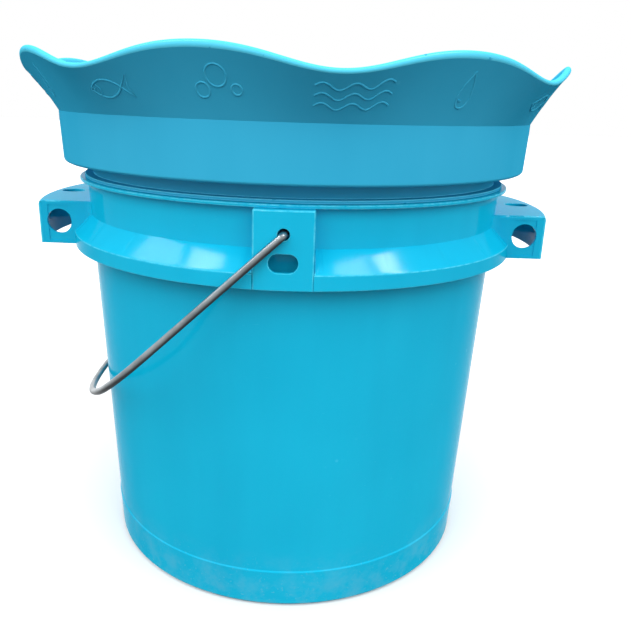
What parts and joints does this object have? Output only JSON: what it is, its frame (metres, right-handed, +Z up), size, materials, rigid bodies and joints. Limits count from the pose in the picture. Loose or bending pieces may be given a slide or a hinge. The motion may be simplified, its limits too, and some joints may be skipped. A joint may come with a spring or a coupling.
{
  "type": "aerated bait bucket",
  "caption": "Round bait pail on a wire bail, with a wavy flared splash collar, a slotted lift-out basket and a battery air pump feeding an air stone.",
  "frame": {"origin": "centre of the pail's foot, on the ground", "axes": "+Z up; the bail's ears lie on -Y (the pictured front) and +Y; the side sockets lie on -X and +X, and the bail hangs towards -X"},
  "size_m": [0.363, 0.363, 0.3484],
  "materials": {
    "pail_plastic": "injection-moulded polyethylene, satin gloss with faint scuffs",
    "collar_plastic": "injection-moulded polyethylene, satin gloss",
    "basket_plastic": "injection-moulded polyethylene, satin",
    "bail_steel": "drawn steel wire, lightly worn zinc",
    "black_plastic": "fine-textured black plastic",
    "case_rear": "fine-textured charcoal plastic",
    "case_front": "textured teal plastic",
    "tube_vinyl": "clear vinyl tube, slightly cloudy",
    "screw_steel": "zinc-plated steel",
    "stone_grit": "sintered grit, porous",
    "cap_plastic": "moulded blue plastic",
    "seal_rubber": "soft rubber",
    "cell_jacket": "printed steel can, bare of print",
    "contact_metal": "nickel-plated spring steel",
    "motor_can": "pressed steel can",
    "works_plastic": "natural acetal",
    "switch_plastic": "moulded red plastic"
  },
  "bodies": {
    "pail": {"bucket": "pail_plastic", "pail_floor": "pail_plastic", "carrying_collar": "pail_plastic", "front_ear": "pail_plastic", "back_ear": "pail_plastic", "left_socket": "pail_plastic", "left_socket_cheeks": "pail_plastic", "right_socket": "pail_plastic", "right_socket_cheeks": "pail_plastic"},
    "bail": {"bail_wire": "bail_steel"},
    "collar": {"splash_collar": "collar_plastic", "collar_neck": "collar_plastic"},
    "basket": {"bait_basket": "basket_plastic", "pump_bracket": "black_plastic", "bracket_screws": "screw_steel", "air_tube": "tube_vinyl", "tube_clips": "basket_plastic", "tube_elbow": "black_plastic", "stone_cap": "cap_plastic", "air_stone": "stone_grit", "stone_saddle": "black_plastic"},
    "pump": {"pump_rear_shell": "case_rear", "pump_front_shell": "case_front", "case_screws": "screw_steel", "case_gasket": "seal_rubber", "belt_clip": "black_plastic", "door_hinge_pin": "screw_steel", "contact_springs": "contact_metal", "contact_strips": "contact_metal", "pump_motor": "motor_can", "diaphragm": "seal_rubber", "valve_block": "works_plastic", "battery_cell_left": "cell_jacket", "battery_cell_right": "cell_jacket"},
    "door": {"battery_door": "black_plastic"},
    "crank": {"motor_crank": "works_plastic"},
    "rod": {"connecting_rod": "works_plastic"},
    "switch": {"switch_slider": "switch_plastic"}
  },
  "joints": [
    {"name": "bail_swing", "type": "hinge", "parent": "pail", "child": "bail", "pos_m": [0, 0, 0.2552], "axis": [0, 1, 0], "range_deg": [0, 64]},
    {"name": "collar_lift", "type": "slide", "parent": "pail", "child": "collar", "axis": [0, 0, 1], "range_m": [0, 0.25]},
    {"name": "basket_lift", "type": "slide", "parent": "collar", "child": "basket", "axis": [0, 0, 1], "range_m": [0, 0.2]},
    {"name": "pump_lift", "type": "slide", "parent": "basket", "child": "pump", "axis": [0, 0, 1], "range_m": [0, 0.06]},
    {"name": "door_swing", "type": "hinge", "parent": "pump", "child": "door", "pos_m": [0, 0.0676, 0.257], "axis": [1, 0, 0], "range_deg": [0, 110]},
    {"name": "crank_spin", "type": "hinge", "parent": "pump", "child": "crank", "pos_m": [0.007, 0.097, 0.24], "axis": [1, 0, 0], "continuous": true},
    {"name": "rod_stroke", "type": "slide", "parent": "pump", "child": "rod", "axis": [0, 0, 1], "range_m": [-0.001, 0.001]},
    {"name": "switch_slide", "type": "slide", "parent": "pump", "child": "switch", "axis": [1, 0, 0], "range_m": [0, 0.006]}
  ]
}
